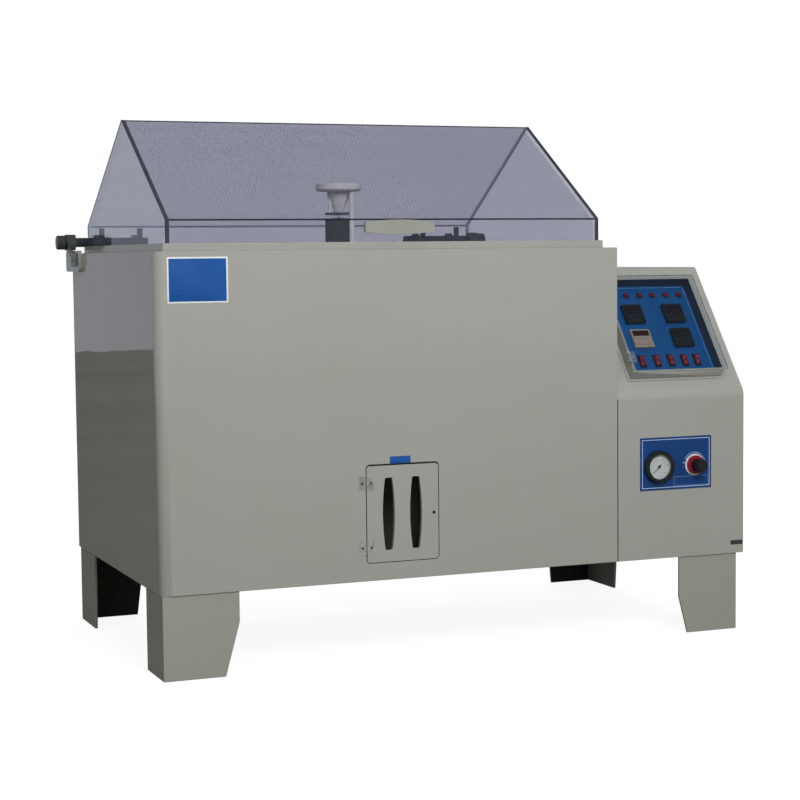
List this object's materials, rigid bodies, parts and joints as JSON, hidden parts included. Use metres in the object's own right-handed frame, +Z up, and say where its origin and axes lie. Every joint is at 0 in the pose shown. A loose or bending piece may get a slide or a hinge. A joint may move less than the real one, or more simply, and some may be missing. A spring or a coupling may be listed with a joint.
{
  "type": "environmental test chamber",
  "caption": "Salt-fog test chamber: board tank on folded legs, hinged roof-shaped tinted canopy in a water seal, side console with sloping control panel.",
  "frame": {"origin": "centre of the bounding box's footprint, on the floor", "axes": "+X to the right along the longest side, +Y from the front to the back, +Z up"},
  "size_m": [1.3436, 0.8044, 1.112],
  "materials": {
    "casing_board": "glossy grey plastic board, heat bent and welded",
    "leg_board": "folded grey board",
    "liner_board": "grey welded liner board",
    "canopy_tint": "smoke tinted transparent sheet",
    "clear_acrylic": "clear acrylic",
    "cover_smoke": "clear cover, faintly tinted",
    "handle_board": "grey board, edges eased",
    "dark_rod": "dark grey plastic rod",
    "steel_strap": "bent stainless strap",
    "white_plastic": "white moulded plastic",
    "tower_pipe": "dark grey pipe",
    "lab_glass": "clear glass",
    "heater_sheath": "metal heater sheath",
    "rack_bar": "plastic-coated bar",
    "panel_blue": "printed blue panel",
    "lamp_red": "red lamp lens",
    "black_plastic": "black moulded plastic",
    "timer_beige": "beige moulded plastic",
    "switch_red": "red rocker",
    "collar_red": "red collar",
    "dial_white": "white dial",
    "steel_plain": "stainless vessel",
    "lock_metal": "plated lock"
  },
  "bodies": {
    "chamber": {"front_panel": "casing_board", "side_panels": "casing_board", "back_panel": "casing_board", "base_panel": "casing_board", "seal_trough": "casing_board", "tank_liner": "liner_board", "front_legs": "leg_board", "rear_legs": "leg_board", "hinge_blocks": "casing_board", "hinge_brackets": "steel_strap", "small_hinge_mounts": "clear_acrylic", "cylinder_niche": "liner_board", "measuring_cylinders": "lab_glass", "collector_funnels": "lab_glass", "spray_tower": "tower_pipe", "spray_nozzle": "lab_glass", "heater_tube": "heater_sheath", "rack_rails": "liner_board", "rack_bars": "rack_bar", "console_housing": "casing_board", "panel_frame": "casing_board", "control_panel": "panel_blue", "pilot_lamps": "lamp_red", "panel_controllers": "black_plastic", "preset_timer": "timer_beige", "rocker_bezels": "black_plastic", "gauge_plate": "panel_blue", "gauge_case": "black_plastic", "gauge_dial": "dial_white", "gauge_lens": "lab_glass", "regulator_body": "collar_red", "saturator_barrel": "steel_plain", "rear_ports": "liner_board"},
    "canopy": {"canopy_front_wall": "canopy_tint", "canopy_front_slope": "canopy_tint", "canopy_rear_slope": "canopy_tint", "canopy_rear_wall": "canopy_tint", "canopy_ends": "canopy_tint", "canopy_handle": "handle_board", "hinge_rods": "dark_rod", "rod_clips": "steel_strap"},
    "access_door": {"access_door": "casing_board", "door_hinge_leaves": "clear_acrylic"},
    "door_lock": {"door_lock": "lock_metal"},
    "panel_cover": {"panel_cover": "cover_smoke", "cover_hinge_leaves": "clear_acrylic"},
    "tower_cap": {"tower_cap": "white_plastic", "baffle_disc": "dark_rod"},
    "gauge_needle": {"gauge_needle": "black_plastic"},
    "regulator_knob": {"regulator_knob": "black_plastic"},
    "rocker_1": {"rocker_1": "switch_red"},
    "rocker_2": {"rocker_2": "switch_red"},
    "rocker_3": {"rocker_3": "switch_red"},
    "rocker_4": {"rocker_4": "switch_red"},
    "rocker_5": {"rocker_5": "switch_red"},
    "timer_key_1": {"timer_key_1": "timer_beige"},
    "timer_key_2": {"timer_key_2": "timer_beige"},
    "timer_key_3": {"timer_key_3": "timer_beige"},
    "timer_key_4": {"timer_key_4": "timer_beige"},
    "timer_key_5": {"timer_key_5": "timer_beige"}
  },
  "joints": [
    {"name": "canopy_hinge", "type": "hinge", "parent": "chamber", "child": "canopy", "pos_m": [-0.1402, 0.3842, 0.862], "axis": [-1, 0, 0], "range_deg": [0, 80]},
    {"name": "access_door_hinge", "type": "hinge", "parent": "chamber", "child": "access_door", "pos_m": [-0.21245, -0.3695, 0.30345], "axis": [0, 0, -1], "range_deg": [0, 110]},
    {"name": "door_lock_turn", "type": "hinge", "parent": "access_door", "child": "door_lock", "pos_m": [-0.0652, -0.3658, 0.3006], "axis": [0, -1, 0], "range_deg": [0, 90]},
    {"name": "panel_cover_hinge", "type": "hinge", "parent": "chamber", "child": "panel_cover", "pos_m": [0.3984, -0.29378, 0.67525], "axis": [0, -0.6061, -0.7954], "range_deg": [0, 95]},
    {"name": "tower_cap_slide", "type": "slide", "parent": "chamber", "child": "tower_cap", "axis": [0, 0, 1], "range_m": [0, 0.03]},
    {"name": "gauge_needle_turn", "type": "hinge", "parent": "chamber", "child": "gauge_needle", "pos_m": [0.4583, -0.3738, 0.3674], "axis": [0, 1, 0], "range_deg": [0, 270]},
    {"name": "regulator_knob_turn", "type": "hinge", "parent": "chamber", "child": "regulator_knob", "pos_m": [0.5464, -0.3858, 0.368], "axis": [0, 1, 0], "range_deg": [0, 1080]},
    {"name": "rocker_1_tilt", "type": "hinge", "parent": "chamber", "child": "rocker_1", "pos_m": [0.4458, -0.31773, 0.59135], "axis": [-1, 0, 0], "range_deg": [0, 17]},
    {"name": "rocker_2_tilt", "type": "hinge", "parent": "chamber", "child": "rocker_2", "pos_m": [0.4828, -0.31773, 0.59135], "axis": [-1, 0, 0], "range_deg": [0, 17]},
    {"name": "rocker_3_tilt", "type": "hinge", "parent": "chamber", "child": "rocker_3", "pos_m": [0.5173, -0.31773, 0.59135], "axis": [-1, 0, 0], "range_deg": [0, 17]},
    {"name": "rocker_4_tilt", "type": "hinge", "parent": "chamber", "child": "rocker_4", "pos_m": [0.5508, -0.31773, 0.59135], "axis": [-1, 0, 0], "range_deg": [0, 17]},
    {"name": "rocker_5_tilt", "type": "hinge", "parent": "chamber", "child": "rocker_5", "pos_m": [0.5818, -0.31773, 0.59135], "axis": [-1, 0, 0], "range_deg": [0, 17]},
    {"name": "timer_key_1_tilt", "type": "hinge", "parent": "chamber", "child": "timer_key_1", "pos_m": [0.4485, -0.2901, 0.6319], "axis": [1, 0, 0], "range_deg": [-5, 5]},
    {"name": "timer_key_2_tilt", "type": "hinge", "parent": "chamber", "child": "timer_key_2", "pos_m": [0.4565, -0.2901, 0.6319], "axis": [1, 0, 0], "range_deg": [-5, 5]},
    {"name": "timer_key_3_tilt", "type": "hinge", "parent": "chamber", "child": "timer_key_3", "pos_m": [0.4645, -0.2901, 0.6319], "axis": [1, 0, 0], "range_deg": [-5, 5]},
    {"name": "timer_key_4_tilt", "type": "hinge", "parent": "chamber", "child": "timer_key_4", "pos_m": [0.4725, -0.2901, 0.6319], "axis": [1, 0, 0], "range_deg": [-5, 5]},
    {"name": "timer_key_5_tilt", "type": "hinge", "parent": "chamber", "child": "timer_key_5", "pos_m": [0.4805, -0.2901, 0.6319], "axis": [1, 0, 0], "range_deg": [-5, 5]}
  ]
}
